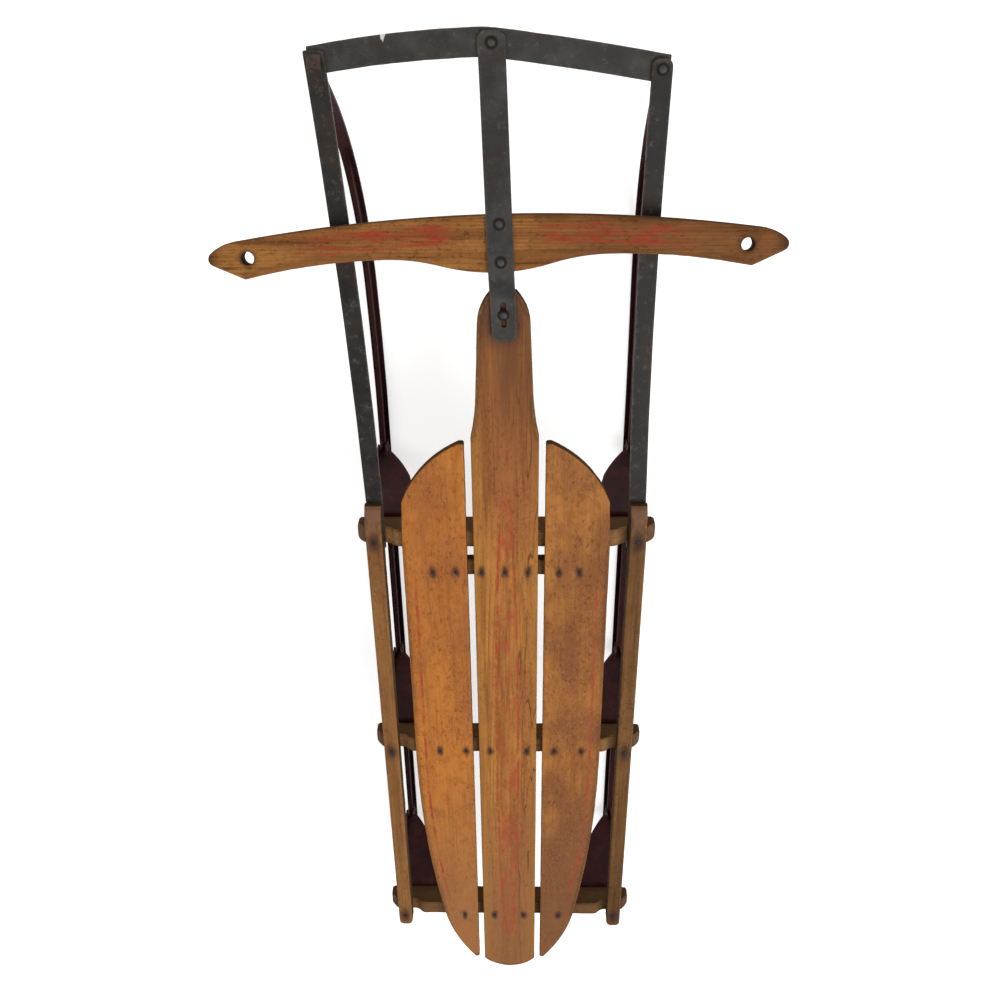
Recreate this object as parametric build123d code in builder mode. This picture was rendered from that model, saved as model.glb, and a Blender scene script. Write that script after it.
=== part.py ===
from build123d import *
import os
from math import acos, atan2, cos, degrees, hypot, radians, sin, sqrt, tan

# Steerable wooden runner sled. Millimetres, +X to the rider's right, +Y forward, +Z up.
# The origin is on the ground, under the middle of the length and width.

# Steel runners: an inverted T, flange on the snow and stem above it
RUNNER_INSET = 19.5
RUNNER_FLANGE_W = 13.5
RUNNER_FLANGE_T = 4.0
RUNNER_STEM_W = 4.0
RUNNER_STEM_H = 14.0
RUNNER_TAIL_REACH = 76.0
RUNNER_CURL_R = 280.0
RUNNER_RISE_LEN = 30.0
RUNNER_STEM_CURL = 0.7
RUNNER_STEM_FADE = 0.5
RUNNER_LUG_BEND_R = 18.0
RUNNER_LUG_R = 10.0
RUNNER_LUG_LEN = 14.0

# Pressed-steel knees between the runners and the crossbars
KNEE_RISE = 110.0
KNEE_T = 2.5
KNEE_RAKE = 26.0
KNEE_OVERHANG = 4.0
KNEE_BEND_R = 5.0
KNEE_TOP_W = 66.0
KNEE_WAIST_W = 43.0
KNEE_WAIST_H = 46.0
KNEE_FOOT_W = 15.0
KNEE_FLARE = 2.0
KNEE_LIP = 8.0
KNEE_EAR_T = 2.2
KNEE_EAR_LEN = 24.0
KNEE_EAR_H = 22.0

# Wooden crossbars: low ends carry the rails, the crowned middle carries the deck
CROSSBAR_LEN = 343.0
CROSSBAR_W = 22.5
CROSSBAR_END_H = 22.0
CROSSBAR_CROWN = 8.0
CROSSBAR_END_CLIP = 9.0
CROSSBAR_END_R = 5.0
CROSSBAR_SHOULDER_GAP = 2.0
CROSSBAR_PITCH = 316.0
MIDDLE_CROSSBAR_Y = -208.0

# Deck slats and the cleat that ties them together in front
SLAT_T = 11.0
SLAT_EDGE_R = 2.0
SLAT_GAP = 7.5
CENTER_SLAT_W = 73.4
NECK_REACH = 293.7
NECK_NOSE_W = 26.0
NECK_NOSE_LEN = 34.0
NECK_FRONT_W = 54.5
NECK_REAR_W = 61.0
NECK_REAR_REACH = 180.0
NECK_SHOULDER_REACH = 132.0
TAIL_REACH = 114.7
TAIL_BOW = 17.4
SIDE_SLAT_RAIL_GAP = 22.0
SIDE_SLAT_NOSE_W = 6.0
SIDE_SLAT_REACH = 125.5
SIDE_SLAT_CORNER_REACH = 52.7
SIDE_SLAT_CORNER_IN = 2.5
SIDE_SLAT_NOSE_BULGE = 9.7
SIDE_SLAT_TAPER_LAG = 14.0
SIDE_SLAT_REAR_IN = 27.0
SIDE_SLAT_TAIL_REACH = 93.3
SIDE_SLAT_TAIL_W = 6.0
SIDE_SLAT_TIP_R = 2.4
SIDE_SLAT_SIDE_BULGE = 6.5
SIDE_SLAT_TAIL_BULGE = 5.5
CLEAT_INSET = 6.0
CLEAT_W = 21.0
CLEAT_H = 14.0
CLEAT_CHAMFER = 2.8
CLEAT_SETBACK = 39.5

# Wooden side rails on the crossbar ends
RAIL_INSET = 22.0
RAIL_W = 19.0
RAIL_H = 18.0
RAIL_FRONT_REACH = 42.0
RAIL_TAIL_REACH = 24.3
RAIL_TAIL_R = 7.0
RAIL_NOSE_LEN = 27.0
RAIL_NOSE_DROP = 10.0
RAIL_EDGE_R = 2.5

# Flat steel side bars, let into the front crossbar under the rails
BAR_INSET = 23.2
BAR_W = 19.0
BAR_T = 3.5
BAR_TAIL_REACH = 18.0
BAR_BOW = 3.5
BAR_NOSE_REACH = 9.0

# Flat steel bumper and steering tongue
STRAP_W = 25.4
STRAP_T = 3.2
STRAP_CLIP = 5.0
BUMPER_LEN = 330.6
BUMPER_BOW = 20.0
BUMPER_BEND_R = 150.0
BUMPER_SHIFT = -2.4
CORNER_INSET = 7.3
PIVOT_SETBACK = 22.1
TONGUE_PITCH = 247.8
TONGUE_TAIL_REACH = 28.0
TONGUE_NOSE_REACH = 10.0
TONGUE_BEND_R = 16.0
TONGUE_LANDING = 28.0
TONGUE_STEP_LEN = 24.0
TONGUE_CREST_REACH = 42.0
TONGUE_CREST_LIFT = 11.65
SLOT_LEN = 27.0
SLOT_W = 6.0

# Wooden handlebar
HANDLE_HALF = 285.7
HANDLE_T = 17.0
HANDLE_FRONT_REACH = 58.5
HANDLE_SHIFT = -4.0
HANDLE_TURN_DEG = -0.8
HANDLE_BOW = 16.1
HANDLE_BOW_HALF = 235.0
HANDLE_HUB_W = 55.1
HANDLE_WAIST_X = 108.6
HANDLE_WAIST_W = 36.7
HANDLE_HEEL_INSET = 39.6
HANDLE_HEEL_BACK = 55.2
HANDLE_TIP_BACK = 37.4
HANDLE_TIP_ROUND = 30.7
HANDLE_TIP_R = 7.0
HANDLE_EDGE_R = 5.0
ROPE_HOLE_INSET = 44.6
ROPE_HOLE_BACK = 34.5
ROPE_HOLE_R = 6.5
RIVET_PITCH = 35.8
RIVET_FRONT_BACK = 9.0

# How the steering was left standing: the tongue turned about its bolt, the bumper about its rivet
STEER_DEG = 2.1
BUMPER_TURN_DEG = -1.75

# Rivets, the pivot bolt and clearances
RIVET_R = 3.0
RIVET_HEAD_R = 5.0
RIVET_HEAD_H = 2.4
RIVET_TAIL_H = 2.0
BOLT_R = 2.7
BOLT_HEAD_R = 5.6
BOLT_HEAD_H = 3.2
BOLT_NUT_R = 6.5
BOLT_NUT_H = 5.0
SQUARE_HEAD_W = 13.0
SQUARE_HEAD_H = 4.5
SQUARE_HEAD_CLIP = 1.0
FIT_GAP = 0.05
RUN_GAP = 0.3

# Heights, from the ground up
stem_top = RUNNER_FLANGE_T + RUNNER_STEM_H
bench_under = stem_top + KNEE_RISE
end_top = bench_under + CROSSBAR_END_H
deck_under = end_top + CROSSBAR_CROWN
deck_top = deck_under + SLAT_T
bar_under = end_top - BAR_T
bumper_top = bar_under - RUN_GAP
bumper_under = bumper_top - STRAP_T
lug_top = bumper_under - RUN_GAP
lug_under = lug_top - RUNNER_FLANGE_T
tongue_nose_z = bumper_top + RUN_GAP
tongue_tail_z = deck_top + RUN_GAP
crest_z = deck_top + TONGUE_CREST_LIFT

# Stations along the length
front_y = MIDDLE_CROSSBAR_Y + CROSSBAR_PITCH
rear_y = MIDDLE_CROSSBAR_Y - CROSSBAR_PITCH
neck_y = front_y + NECK_REACH
pivot_y = neck_y - PIVOT_SETBACK

# Offsets from the middle, inward from the crossbars' ends
bar_end = CROSSBAR_LEN / 2
runner_x = bar_end - RUNNER_INSET
rail_x = bar_end - RAIL_INSET
rail_in = rail_x - RAIL_W / 2
bar_x = bar_end - BAR_INSET
slat_out = rail_in - SIDE_SLAT_RAIL_GAP
slat_in = CENTER_SLAT_W / 2 + SLAT_GAP


def turned(x, y, angle):
    """Ground plane at a point, turned about the vertical."""
    heading = (cos(radians(angle)), sin(radians(angle)), 0)
    return Plane(origin=(x, y, 0), x_dir=heading, z_dir=(0, 0, 1))


# Steering frame: origin on the pivot bolt, its Y along the tongue
steer_plane = turned(0, pivot_y, STEER_DEG)
steer_side = Plane(origin=steer_plane.origin, x_dir=steer_plane.y_dir, z_dir=steer_plane.x_dir)
tongue_rivet = steer_plane.from_local_coords(Vector(0, TONGUE_PITCH, 0))
# Bumper frame: origin at the strap's middle, a little beside the tongue's rivet
rivet_plane = turned(tongue_rivet.X, tongue_rivet.Y, BUMPER_TURN_DEG)
bumper_middle = rivet_plane.from_local_coords(Vector(BUMPER_SHIFT, 0, 0))
bumper_plane = turned(bumper_middle.X, bumper_middle.Y, BUMPER_TURN_DEG)
bumper_half = BUMPER_LEN / 2
corner_x = bumper_half - CORNER_INSET
corner_y = CORNER_INSET * BUMPER_BOW / bumper_half - BUMPER_BOW
# Slope frame: origin on the tongue's crest, Y down along its underside, Z out of the handlebar's top
slope = atan2(crest_z - tongue_nose_z, TONGUE_PITCH - TONGUE_LANDING - TONGUE_CREST_REACH)
slope_plane = Plane(
    origin=steer_plane.from_local_coords(Vector(0, TONGUE_CREST_REACH, crest_z)),
    x_dir=steer_plane.x_dir,
    z_dir=steer_plane.y_dir * sin(slope) + steer_plane.z_dir * cos(slope),
)
# Handlebar frame: origin at the middle of its front edge, on the slope
handle_turn = radians(HANDLE_TURN_DEG)
handle_plane = Plane(
    origin=slope_plane.from_local_coords(Vector(HANDLE_SHIFT, HANDLE_FRONT_REACH, 0)),
    x_dir=slope_plane.x_dir * cos(handle_turn) + slope_plane.y_dir * sin(handle_turn),
    z_dir=slope_plane.z_dir,
)
handle_rivet_front = HANDLE_FRONT_REACH - RIVET_FRONT_BACK
handle_rivet_ys = (handle_rivet_front, handle_rivet_front - RIVET_PITCH)

# Columns: name, station, depth of the notch for the side bars
CROSSBARS = (
    ("front", front_y, BAR_T),
    ("middle", MIDDLE_CROSSBAR_Y, 0.0),
    ("rear", rear_y, 0.0),
)
# Columns: name, sign of X, corner radius at the side bar's front end, bow of the bumper's arm,
# width of the square head on the corner's fastener
SIDES = (("left", -1, 1.5, 3.2, SQUARE_HEAD_W), ("right", 1, 7.0, 1.1, 0.0))
# Where the bumper's corner rivets stand
corners = {}
for side, sign, *_ in SIDES:
    corners[side] = bumper_plane.from_local_coords(Vector(sign * corner_x, corner_y, 0))


def save(piece, label):
    piece.part.label = label
    export_step(piece.part, f"parts/{label}.step")


def make_rivet(base, low, high, shank_r, head_r, head_h, tail_r, tail_h):
    """Domed head above high, shank through the stack, flat tail below low, all along the base's normal."""
    with BuildPart() as rivet:
        with BuildSketch(Plane(origin=base.origin, x_dir=base.x_dir, z_dir=base.y_dir * -1)):
            with BuildLine():
                Polyline(
                    (0, high + head_h),
                    (0, low - tail_h),
                    (tail_r, low - tail_h),
                    (tail_r, low),
                    (shank_r, low),
                    (shank_r, high),
                    (head_r, high),
                )
                RadiusArc((head_r, high), (0, high + head_h), -(head_r**2 + head_h**2) / (2 * head_h))
            make_face()
        revolve(axis=Axis(base.origin, base.z_dir))
    return rivet


os.makedirs("parts", exist_ok=True)

# Centre slat: long narrow neck in front, shallow bow at the tail
half = CENTER_SLAT_W / 2
with BuildPart() as center_slat:
    with BuildSketch(Plane.XY.offset(deck_under)):
        with BuildLine():
            tail_corner = (half, rear_y - TAIL_REACH + TAIL_BOW)
            shoulder = (half, front_y + NECK_SHOULDER_REACH)
            neck_rear = (NECK_REAR_W / 2, front_y + NECK_REAR_REACH)
            neck_front = (NECK_FRONT_W / 2, neck_y - NECK_NOSE_LEN)
            nose = (NECK_NOSE_W / 2, neck_y)
            ThreePointArc((-tail_corner[0], tail_corner[1]), (0, rear_y - TAIL_REACH), tail_corner)
            for sign in (1, -1):
                Line((sign * tail_corner[0], tail_corner[1]), (sign * shoulder[0], shoulder[1]))
                TangentArc(
                    (sign * neck_rear[0], neck_rear[1]),
                    (sign * shoulder[0], shoulder[1]),
                    tangent=(sign * (neck_rear[0] - neck_front[0]), neck_rear[1] - neck_front[1]),
                )
                Line((sign * neck_rear[0], neck_rear[1]), (sign * neck_front[0], neck_front[1]))
                TangentArc(
                    (sign * neck_front[0], neck_front[1]),
                    (sign * nose[0], nose[1]),
                    tangent=(sign * (neck_front[0] - neck_rear[0]), neck_front[1] - neck_rear[1]),
                )
            Line((-nose[0], nose[1]), nose)
        make_face()
    extrude(amount=SLAT_T)
    fillet(center_slat.edges().group_by(Axis.Z)[-1], radius=SLAT_EDGE_R)
    with Locations((0, pivot_y, deck_top)):
        Hole(BOLT_R + FIT_GAP)
save(center_slat, "center_slat")


def bulged(start, end, bulge):
    """Point beside the middle of a chord, bulge millimetres out along +X and its normal."""
    across, along = end[0] - start[0], end[1] - start[1]
    length = sqrt(across**2 + along**2)
    normal = (abs(along) / length, across / length if along < 0 else -across / length)
    return ((start[0] + end[0]) / 2 + bulge * normal[0], (start[1] + end[1]) / 2 + bulge * normal[1])


# Side slats: half-leaf outlines, straight along the inner edge
slat_nose_in = (slat_in, front_y + SIDE_SLAT_REACH)
slat_nose_out = (slat_in + SIDE_SLAT_NOSE_W, front_y + SIDE_SLAT_REACH)
slat_corner = (slat_out - SIDE_SLAT_CORNER_IN, front_y + SIDE_SLAT_CORNER_REACH)
slat_widest_front = (slat_out, front_y)
slat_widest_rear = (slat_out, MIDDLE_CROSSBAR_Y - SIDE_SLAT_TAPER_LAG)
slat_rear = (slat_out - SIDE_SLAT_REAR_IN, rear_y)
slat_tail_out = (slat_in + SIDE_SLAT_TAIL_W, rear_y - SIDE_SLAT_TAIL_REACH)
slat_tail_in = (slat_in, rear_y - SIDE_SLAT_TAIL_REACH)
# Columns: start, end, bulge of each curved stretch of the outer edge
slat_arcs = (
    (slat_nose_out, slat_corner, SIDE_SLAT_NOSE_BULGE),
    (slat_widest_rear, slat_rear, SIDE_SLAT_SIDE_BULGE),
    (slat_rear, slat_tail_out, SIDE_SLAT_TAIL_BULGE),
)
slat_lines = (
    (slat_tail_out, slat_tail_in),
    (slat_tail_in, slat_nose_in),
    (slat_nose_in, slat_nose_out),
    (slat_corner, slat_widest_front),
    (slat_widest_front, slat_widest_rear),
)
for side, sign, *_ in SIDES:
    with BuildPart() as side_slat:
        with BuildSketch(Plane.XY.offset(deck_under)) as side_slat_outline:
            with BuildLine():
                for start, end in slat_lines:
                    Line((sign * start[0], start[1]), (sign * end[0], end[1]))
                for start, end, bulge in slat_arcs:
                    middle = bulged(start, end, bulge)
                    ThreePointArc(*[(sign * x, y) for x, y in (start, middle, end)])
            make_face()
            fillet(side_slat_outline.vertices(), radius=SIDE_SLAT_TIP_R)
        extrude(amount=SLAT_T)
        fillet(side_slat.edges().group_by(Axis.Z)[-1], radius=SLAT_EDGE_R)
    save(side_slat, f"side_slat_{side}")

# Crossbars, drawn as seen from the front, with an ogee step beside each rail
step_out = rail_in - CROSSBAR_SHOULDER_GAP
step_in = slat_out + CROSSBAR_SHOULDER_GAP
step_mid = ((step_out + step_in) / 2, end_top + CROSSBAR_CROWN / 2)
for name, y, notch in CROSSBARS:
    with BuildPart() as crossbar:
        with BuildSketch(Plane.XZ.offset(-y - CROSSBAR_W / 2)):
            with BuildLine():
                Line((-bar_end, bench_under), (bar_end, bench_under))
                for sign in (1, -1):
                    Polyline(
                        (sign * bar_end, bench_under),
                        (sign * bar_end, end_top - CROSSBAR_END_CLIP),
                        (sign * (bar_end - CROSSBAR_END_CLIP), end_top),
                        (sign * step_out, end_top),
                    )
                    middle = (sign * step_mid[0], step_mid[1])
                    TangentArc((sign * step_out, end_top), middle, tangent=(-sign, 0))
                    TangentArc((sign * step_in, deck_under), middle, tangent=(sign, 0))
                Line((-step_in, deck_under), (step_in, deck_under))
            make_face()
        extrude(amount=CROSSBAR_W)
        ends = crossbar.edges().filter_by(Axis.Z).group_by(Axis.X)
        fillet(ends[0] + ends[-1], radius=CROSSBAR_END_R)
        if notch:
            with BuildSketch(Plane.XY.offset(end_top)):
                with Locations((bar_x, y), (-bar_x, y)):
                    Rectangle(BAR_W + 2 * RUN_GAP, CROSSBAR_W)
            extrude(amount=-notch, mode=Mode.SUBTRACT)
    save(crossbar, f"crossbar_{name}")

# Cleat under the slats, just behind the front crossbar
with BuildPart() as deck_cleat:
    with BuildSketch(Plane.XY.offset(deck_under)):
        with Locations((0, front_y - CLEAT_SETBACK)):
            Rectangle(2 * (slat_out - CLEAT_INSET), CLEAT_W)
    extrude(amount=-CLEAT_H)
    chamfer(deck_cleat.edges().filter_by(Axis.X).group_by(Axis.Z)[0], length=CLEAT_CHAMFER)
save(deck_cleat, "deck_cleat")

# Side rails: nose worn down in front, rounded tail
rail_front = front_y + RAIL_FRONT_REACH
rail_tail = rear_y - RAIL_TAIL_REACH
for side, sign, *_ in SIDES:
    with BuildPart() as side_rail:
        with BuildSketch(Plane.YZ.offset(sign * rail_x)):
            with BuildLine():
                nose_top = (rail_front - RAIL_NOSE_LEN, end_top + RAIL_H)
                nose_low = (rail_front, end_top + RAIL_H - RAIL_NOSE_DROP)
                Polyline(
                    nose_low,
                    (rail_front, end_top),
                    (rail_tail, end_top),
                    (rail_tail, end_top + RAIL_H),
                    nose_top,
                )
                TangentArc(nose_top, nose_low, tangent=(1, 0))
            make_face()
        extrude(amount=RAIL_W / 2, both=True)
        fillet(side_rail.edges().filter_by(Axis.Z).group_by(Axis.Y)[0], radius=RAIL_TAIL_R)
        fillet(side_rail.edges().filter_by(Axis.Y).group_by(Axis.Z)[-1], radius=RAIL_EDGE_R)
    save(side_rail, f"side_rail_{side}")

# Knees: one pressing each, a seat under the crossbar, a raked bell-shaped web with a lip along
# its outer edge, and two ears that clasp the runner's stem
knee_out = runner_x + KNEE_FOOT_W / 2
rake_slope = KNEE_RAKE / KNEE_RISE
for name, y, _ in CROSSBARS:
    web_top = y + CROSSBAR_W / 2 + KNEE_OVERHANG
    web_foot = web_top + KNEE_RAKE
    past_foot = (web_foot + rake_slope * RUNNER_STEM_H, RUNNER_FLANGE_T)
    for side, sign, *_ in SIDES:
        with BuildPart() as knee:
            with BuildSketch(Plane.YZ):
                with BuildLine():
                    FilletPolyline(
                        (y - CROSSBAR_W / 2, bench_under),
                        (web_top, bench_under),
                        past_foot,
                        radius=KNEE_BEND_R,
                    )
                    offset(amount=KNEE_T, side=Side.RIGHT)
                make_face()
            extrude(amount=sign * (knee_out + KNEE_T))
            with BuildSketch(Plane.XZ.offset(-y)):
                with BuildLine():
                    foot_in = (knee_out - KNEE_FOOT_W, stem_top)
                    waist = (knee_out - KNEE_WAIST_W, stem_top + KNEE_WAIST_H)
                    seat_in = (knee_out - KNEE_TOP_W, bench_under)
                    shoulder_mid = bulged(waist, foot_in, -KNEE_FLARE)
                    flare_mid = bulged(seat_in, waist, KNEE_FLARE)
                    outside = (foot_in, (knee_out, stem_top), (knee_out, bench_under), seat_in)
                    Polyline(*[(sign * x, z) for x, z in outside])
                    ThreePointArc(*[(sign * x, z) for x, z in (seat_in, flare_mid, waist)])
                    ThreePointArc(*[(sign * x, z) for x, z in (waist, shoulder_mid, foot_in)])
                make_face()
            extrude(amount=CROSSBAR_W + KNEE_OVERHANG + KNEE_RAKE, both=True, mode=Mode.INTERSECT)
            with BuildSketch(Plane.YZ.offset(sign * knee_out)):
                with BuildLine():
                    lip_top = bench_under - KNEE_BEND_R
                    lip_y = web_top + rake_slope * KNEE_BEND_R
                    Polyline(
                        (lip_y - KNEE_T / 2, lip_top),
                        (web_foot - KNEE_T / 2, stem_top),
                        (web_foot + KNEE_LIP, stem_top),
                        (lip_y + KNEE_LIP, lip_top),
                        close=True,
                    )
                make_face()
            extrude(amount=-sign * KNEE_T)
            ear_x = RUNNER_STEM_W / 2 + KNEE_EAR_T / 2
            ear_y = web_foot - KNEE_EAR_LEN / 2 + KNEE_LIP
            with BuildSketch(Plane.XY.offset(RUNNER_FLANGE_T)):
                with Locations((sign * runner_x - ear_x, ear_y), (sign * runner_x + ear_x, ear_y)):
                    Rectangle(KNEE_EAR_T, KNEE_EAR_LEN)
            extrude(amount=KNEE_EAR_H)
        save(knee, f"knee_{name}_{side}")


def bar_plan(x, sweep, middle, tail_y, bend_y, end_y, width):
    """Outline of a sprung bar from above: straight to the bend, then one arc to its end."""
    with BuildLine() as outline:
        for edge in (x - width / 2, x + width / 2):
            Line((edge, tail_y), (edge, bend_y))
            ThreePointArc((edge, bend_y), (edge + middle, (bend_y + end_y) / 2), (edge + sweep, end_y))
        for y, shift in ((tail_y, x), (end_y, x + sweep)):
            Line((shift - width / 2, y), (shift + width / 2, y))
    return outline


# Runners: straight on the snow back from the front knees, ahead of them sprung sideways in one arc
# each and curled up to a lug under the bumper's corner. Flange and stem are the side profile cut to
# the outline from above.
runner_tail = rear_y - RUNNER_TAIL_REACH
spring_y = front_y + CROSSBAR_W / 2 + KNEE_OVERHANG + KNEE_RAKE + KNEE_LIP
# The arc and the straight rise above it climb together to the lug
rise_r = hypot(RUNNER_CURL_R, RUNNER_RISE_LEN)
curl_angle = acos((RUNNER_CURL_R - lug_under) / rise_r) - atan2(RUNNER_RISE_LEN, RUNNER_CURL_R)
stem_low_r = RUNNER_CURL_R - RUNNER_FLANGE_T / 2
stem_high_r = RUNNER_CURL_R - stem_top
stem_low_deg = degrees(curl_angle) * RUNNER_STEM_CURL
stem_high_deg = degrees(curl_angle) * RUNNER_STEM_FADE
for side, sign, *_ in SIDES:
    corner = corners[side]
    sweep = corner.X - sign * runner_x
    lug_bend = corner.Y - RUNNER_LUG_LEN
    curl_corner = lug_bend - lug_under / tan(curl_angle)
    curl_start = curl_corner - RUNNER_CURL_R * tan(curl_angle / 2)
    plan = (sign * runner_x, sweep, sweep / 4, runner_tail, spring_y, corner.Y)
    with BuildPart() as flange:
        with BuildSketch(Plane.YZ):
            with BuildLine():
                FilletPolyline(
                    (runner_tail, 0),
                    (curl_corner, 0),
                    (lug_bend, lug_under),
                    (corner.Y, lug_under),
                    radius=[RUNNER_CURL_R, RUNNER_LUG_BEND_R],
                )
                offset(amount=RUNNER_FLANGE_T, side=Side.LEFT)
            make_face()
        extrude(amount=CROSSBAR_LEN, both=True)
        with BuildSketch():
            make_face(bar_plan(*plan, RUNNER_FLANGE_W).edges())
        extrude(amount=end_top, mode=Mode.INTERSECT)
    with BuildPart() as stem:
        with BuildSketch(Plane.YZ):
            with BuildLine():
                low = CenterArc((curl_start, RUNNER_CURL_R), stem_low_r, -90, stem_low_deg)
                high = CenterArc((curl_start, RUNNER_CURL_R), stem_high_r, -90, stem_high_deg)
                Polyline(
                    low @ 0,
                    (runner_tail, RUNNER_FLANGE_T / 2),
                    (runner_tail, RUNNER_FLANGE_T),
                    (runner_tail + RUNNER_STEM_H, stem_top),
                    high @ 0,
                )
                Line(high @ 1, low @ 1)
            make_face()
        extrude(amount=CROSSBAR_LEN, both=True)
        with BuildSketch():
            make_face(bar_plan(*plan, RUNNER_STEM_W).edges())
        extrude(amount=end_top, mode=Mode.INTERSECT)
    with BuildPart() as runner:
        add([flange.part, stem.part])
        with BuildSketch(Plane.XY.offset(lug_under)):
            with Locations((corner.X, corner.Y)):
                Circle(RUNNER_LUG_R)
        extrude(amount=RUNNER_FLANGE_T)
        with BuildSketch(Plane.XY.offset(lug_under)):
            with Locations((corner.X, corner.Y)):
                Circle(RIVET_R + RUN_GAP)
        extrude(amount=RUNNER_FLANGE_T, mode=Mode.SUBTRACT)
    save(runner, f"runner_{side}")

# Side bars: straight beside the rail, then sprung in one arc, bowed inward, to the bumper's corner
bar_tail = front_y - BAR_TAIL_REACH
for side, sign, nose_r, *_ in SIDES:
    corner = corners[side]
    bar_nose = corner.Y + BAR_NOSE_REACH
    sweep = (corner.X - sign * bar_x) * (bar_nose - rail_front) / (corner.Y - rail_front)
    plan = (sign * bar_x, sweep, sweep / 2 - sign * BAR_BOW, bar_tail, rail_front, bar_nose)
    with BuildPart() as side_bar:
        with BuildSketch(Plane.XY.offset(bar_under)):
            make_face(bar_plan(*plan, BAR_W).edges())
            with Locations((corner.X, corner.Y)):
                Circle(RIVET_R + RUN_GAP, mode=Mode.SUBTRACT)
        extrude(amount=BAR_T)
        fillet(side_bar.edges().filter_by(Axis.Z).group_by(Axis.Y)[-1], radius=nose_r)
    save(side_bar, f"side_bar_{side}")

# Bumper: flat strap bent at the tongue, with a little bow in each arm
with BuildPart() as bumper:
    with BuildSketch(bumper_plane.offset(bumper_under)) as bumper_outline:
        with BuildLine():
            for front in (STRAP_W / 2, -STRAP_W / 2):
                for _, sign, _, bow, _ in SIDES:
                    middle = (0, front)
                    end = (bumper_half, front - BUMPER_BOW)
                    x, y = bulged(middle, end, bow)
                    ThreePointArc(middle, (sign * x, y), (sign * end[0], end[1]))
            for sign in (1, -1):
                end_x = sign * bumper_half
                Line((end_x, STRAP_W / 2 - BUMPER_BOW), (end_x, -STRAP_W / 2 - BUMPER_BOW))
        make_face()
        bends = bumper_outline.vertices().filter_by(lambda vertex: abs(vertex.X) < STRAP_W)
        fillet(bends, radius=BUMPER_BEND_R)
        with Locations((-BUMPER_SHIFT, 0), (corner_x, corner_y), (-corner_x, corner_y)):
            Circle(RIVET_R + FIT_GAP, mode=Mode.SUBTRACT)
    extrude(amount=STRAP_T)
save(bumper, "bumper")

# Handlebar: broad at the middle, waisted, with rounded front tips and clipped heels
bow_r = (HANDLE_BOW_HALF**2 + HANDLE_BOW**2) / (2 * HANDLE_BOW)
tip_start_x = HANDLE_HALF - HANDLE_TIP_ROUND
tip_start = (tip_start_x, sqrt(bow_r**2 - tip_start_x**2) - bow_r)
tip = (HANDLE_HALF, -HANDLE_TIP_BACK)
heel = (HANDLE_HALF - HANDLE_HEEL_INSET, -HANDLE_HEEL_BACK)
waist_drop = bow_r - sqrt(bow_r**2 - HANDLE_WAIST_X**2)
waist = (HANDLE_WAIST_X, -waist_drop - HANDLE_WAIST_W)
hub = (0, -HANDLE_HUB_W)
ogee = ((waist[0] + hub[0]) / 2, (waist[1] + hub[1]) / 2)
rope_x = HANDLE_HALF - ROPE_HOLE_INSET
with BuildPart() as handlebar:
    with BuildSketch(handle_plane) as handle_outline:
        with BuildLine():
            ThreePointArc((-tip_start[0], tip_start[1]), (0, 0), tip_start)
            for sign in (1, -1):
                TangentArc(
                    (sign * tip_start[0], tip_start[1]),
                    (sign * tip[0], tip[1]),
                    tangent=(sign * (bow_r - HANDLE_BOW), -tip_start_x),
                )
                Line((sign * tip[0], tip[1]), (sign * heel[0], heel[1]))
                TangentArc((sign * waist[0], waist[1]), (sign * heel[0], heel[1]), tangent=(sign, 0))
                TangentArc((sign * waist[0], waist[1]), (sign * ogee[0], ogee[1]), tangent=(-sign, 0))
                TangentArc((sign * hub[0], hub[1]), (sign * ogee[0], ogee[1]), tangent=(sign, 0))
        make_face()
        tips = handle_outline.vertices().filter_by(lambda vertex: abs(vertex.X) > HANDLE_HALF - HANDLE_TIP_R)
        fillet(tips, radius=HANDLE_TIP_R)
    extrude(amount=-HANDLE_T / 2)
    rims = handlebar.edges().group_by(Axis(handle_plane.origin, handle_plane.z_dir))
    fillet(rims[-1], radius=HANDLE_EDGE_R)
    mirror(about=handle_plane.offset(-HANDLE_T / 2))
    with BuildSketch(handle_plane):
        with Locations((rope_x, -ROPE_HOLE_BACK), (-rope_x, -ROPE_HOLE_BACK)):
            Circle(ROPE_HOLE_R)
    extrude(amount=-HANDLE_T, mode=Mode.SUBTRACT)
    with BuildSketch(slope_plane):
        with Locations(*[(0, y) for y in handle_rivet_ys]):
            Circle(RIVET_R + FIT_GAP)
    extrude(amount=-HANDLE_T, mode=Mode.SUBTRACT)
save(handlebar, "handlebar")

# Steering tongue: one bent strap from the bumper, sloping up over the handlebar, to the slot on the neck
with BuildPart() as steering_tongue:
    with BuildSketch(steer_side):
        with BuildLine():
            FilletPolyline(
                (-TONGUE_TAIL_REACH, tongue_tail_z),
                (TONGUE_CREST_REACH - TONGUE_STEP_LEN, tongue_tail_z),
                (TONGUE_CREST_REACH, crest_z),
                (TONGUE_PITCH - TONGUE_LANDING, tongue_nose_z),
                (TONGUE_PITCH + TONGUE_NOSE_REACH, tongue_nose_z),
                radius=TONGUE_BEND_R,
            )
            offset(amount=STRAP_T, side=Side.LEFT)
        make_face()
    extrude(amount=STRAP_W / 2, both=True)
    chamfer(steering_tongue.edges().filter_by(Axis.Z), length=STRAP_CLIP)
    with BuildSketch(steer_plane.offset(tongue_nose_z)):
        SlotOverall(SLOT_LEN, SLOT_W, rotation=90)
        with Locations((0, TONGUE_PITCH)):
            Circle(RIVET_R + RUN_GAP)
    extrude(amount=crest_z + STRAP_T - tongue_nose_z, mode=Mode.SUBTRACT)
    with BuildSketch(slope_plane):
        with Locations(*[(0, y) for y in handle_rivet_ys]):
            Circle(RIVET_R + FIT_GAP)
    extrude(amount=STRAP_T, mode=Mode.SUBTRACT)
save(steering_tongue, "steering_tongue")

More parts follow.
